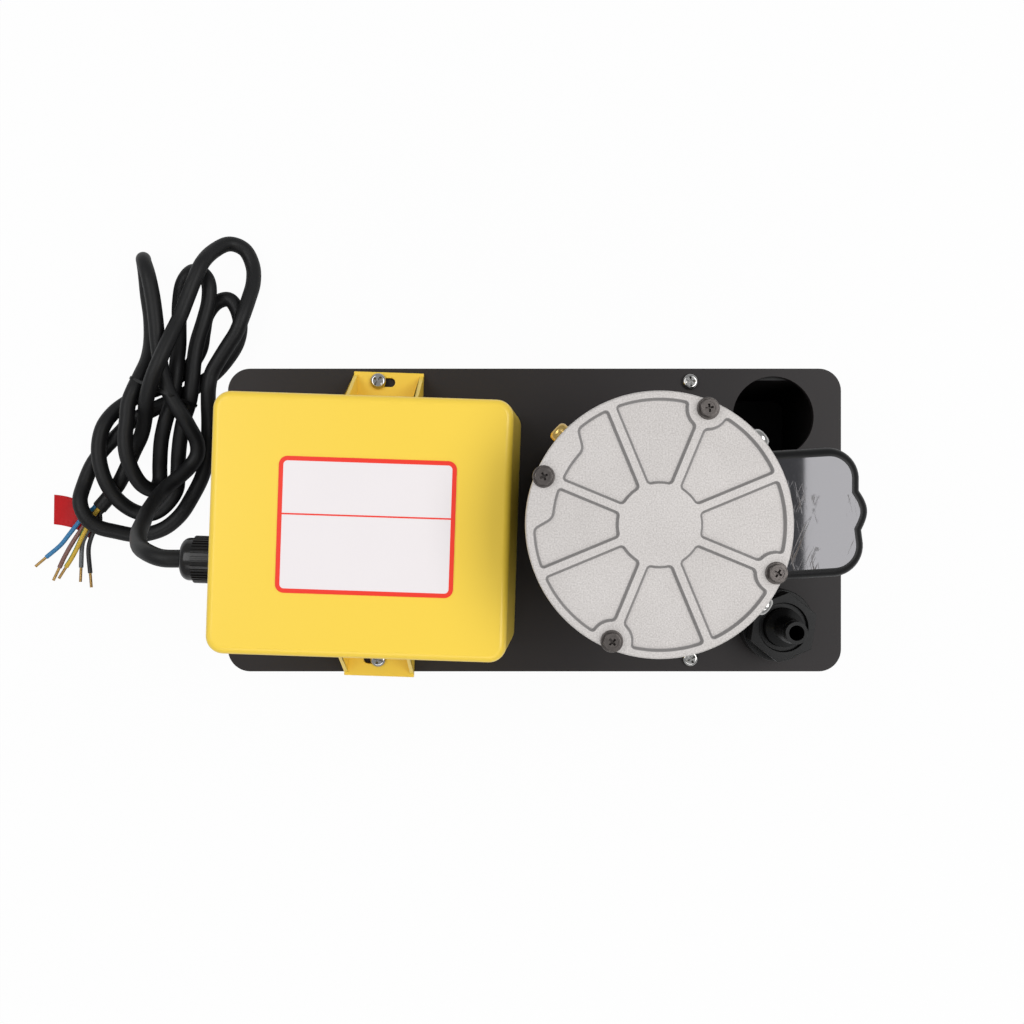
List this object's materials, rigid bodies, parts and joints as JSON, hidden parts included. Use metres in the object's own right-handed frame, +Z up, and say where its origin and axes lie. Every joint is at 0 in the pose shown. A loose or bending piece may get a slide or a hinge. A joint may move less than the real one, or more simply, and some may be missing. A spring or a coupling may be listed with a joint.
{
  "type": "condensate tank pump",
  "caption": "Tank pump with a ribbed motor cap, a float switch under a yellow cover, a capacitor cover, a hose tail and a tied supply cable.",
  "frame": {"origin": "middle of the tank's underside, on the surface it stands on", "axes": "+Z up, +X along the tank towards the inlet and the outlet, +Y towards the inlet side"},
  "size_m": [0.4766, 0.2598, 0.2636],
  "materials": {
    "tank_plastic": "satin moulded",
    "seal_rubber": "matt",
    "bright_screw": "bright zinc",
    "dark_screw": "dark zinc",
    "brass": "turned",
    "cast_cap": "bare die cast",
    "motor_paint": "black semi-gloss",
    "core_steel": "laminated",
    "copper": "enamelled copper",
    "sheet_steel": "zinc plated sheet",
    "capacitor_can": "drawn can",
    "black_gloss": "glossy",
    "yellow_cover": "satin gloss",
    "label_blank": "blank panel with red border",
    "gland_plastic": "satin",
    "cable_sheath": "smooth rubber",
    "core_insulation": "blue, brown, yellow-green, grey and black",
    "tag_red": "blank red film",
    "tie_black": "smooth",
    "pump_plastic": "moulded",
    "white_plastic": "moulded",
    "plunger_red": "moulded"
  },
  "bodies": {
    "pump": {"tank": "tank_plastic", "tank_lid": "tank_plastic", "lid_gasket": "seal_rubber", "lid_screws": "bright_screw", "outlet_body": "tank_plastic", "outlet_locknut": "tank_plastic", "union_nut": "tank_plastic", "tail_seal": "seal_rubber", "hose_tail": "tank_plastic", "riser_pipe": "pump_plastic", "volute_casing": "pump_plastic", "suction_strainer": "pump_plastic", "pump_screws": "bright_screw", "pump_column": "pump_plastic", "shaft_seal": "seal_rubber", "motor_base": "motor_paint", "base_screws": "bright_screw", "motor_shell": "motor_paint", "shell_screws": "bright_screw", "stator_core": "core_steel", "stator_windings": "copper", "shaft_bearings": "bright_screw", "end_cap": "cast_cap", "end_cap_screws": "dark_screw", "rim_screws": "bright_screw", "earth_screw": "brass", "capacitor_bracket": "sheet_steel", "capacitor": "capacitor_can", "capacitor_cover": "black_gloss", "switch_cover": "yellow_cover", "label_panel": "label_blank", "gland_body": "gland_plastic", "gland_locknut": "gland_plastic", "gland_seal": "seal_rubber", "gland_nut": "gland_plastic", "cable_entry": "cable_sheath", "inner_cores": "core_insulation", "terminal_block": "white_plastic", "switch_bracket": "sheet_steel", "microswitches": "gland_plastic", "switch_pins": "bright_screw", "lever_pin": "bright_screw", "guide_bush": "white_plastic", "supply_cable": "cable_sheath", "cable_hank": "cable_sheath", "core_wires": "core_insulation", "cable_tag": "tag_red", "cable_tie": "tie_black"},
    "rotor": {"pump_shaft": "bright_screw", "rotor_core": "core_steel", "cooling_fan": "pump_plastic", "impeller": "white_plastic", "impeller_nut": "bright_screw"},
    "float": {"tank_float": "white_plastic", "float_rod": "bright_screw", "rod_collars": "brass"},
    "lever": {"switch_lever": "white_plastic"},
    "run_switch": {"run_plunger": "plunger_red"},
    "alarm_switch": {"alarm_plunger": "plunger_red"},
    "ball": {"check_ball": "seal_rubber"}
  },
  "joints": [
    {"name": "rotor_spin", "type": "hinge", "parent": "pump", "child": "rotor", "pos_m": [0.0492, -0.001, 0.15], "axis": [0, 0, 1], "continuous": true},
    {"name": "float_slide", "type": "slide", "parent": "pump", "child": "float", "axis": [0, 0, 1], "range_m": [0, 0.026]},
    {"name": "lever_hinge", "type": "hinge", "parent": "pump", "child": "lever", "pos_m": [-0.0568, 0.012, 0.13246], "axis": [0, 1, 0], "range_deg": [0, 23.28]},
    {"name": "run_plunger_slide", "type": "slide", "parent": "pump", "child": "run_switch", "axis": [0, 0, -1], "range_m": [0, 0.0029]},
    {"name": "alarm_plunger_slide", "type": "slide", "parent": "pump", "child": "alarm_switch", "axis": [0, 0, -1], "range_m": [0, 0.0029]},
    {"name": "check_ball_lift", "type": "slide", "parent": "pump", "child": "ball", "axis": [0, 0, 1], "range_m": [0, 0.006]}
  ],
  "couplings": [
    {"joint": "lever_hinge", "follows": "float_slide", "rad_per_m": 15.625},
    {"joint": "run_plunger_slide", "follows": "float_slide", "ratio": 0.1109},
    {"joint": "alarm_plunger_slide", "follows": "float_slide", "ratio": 0.1109}
  ]
}
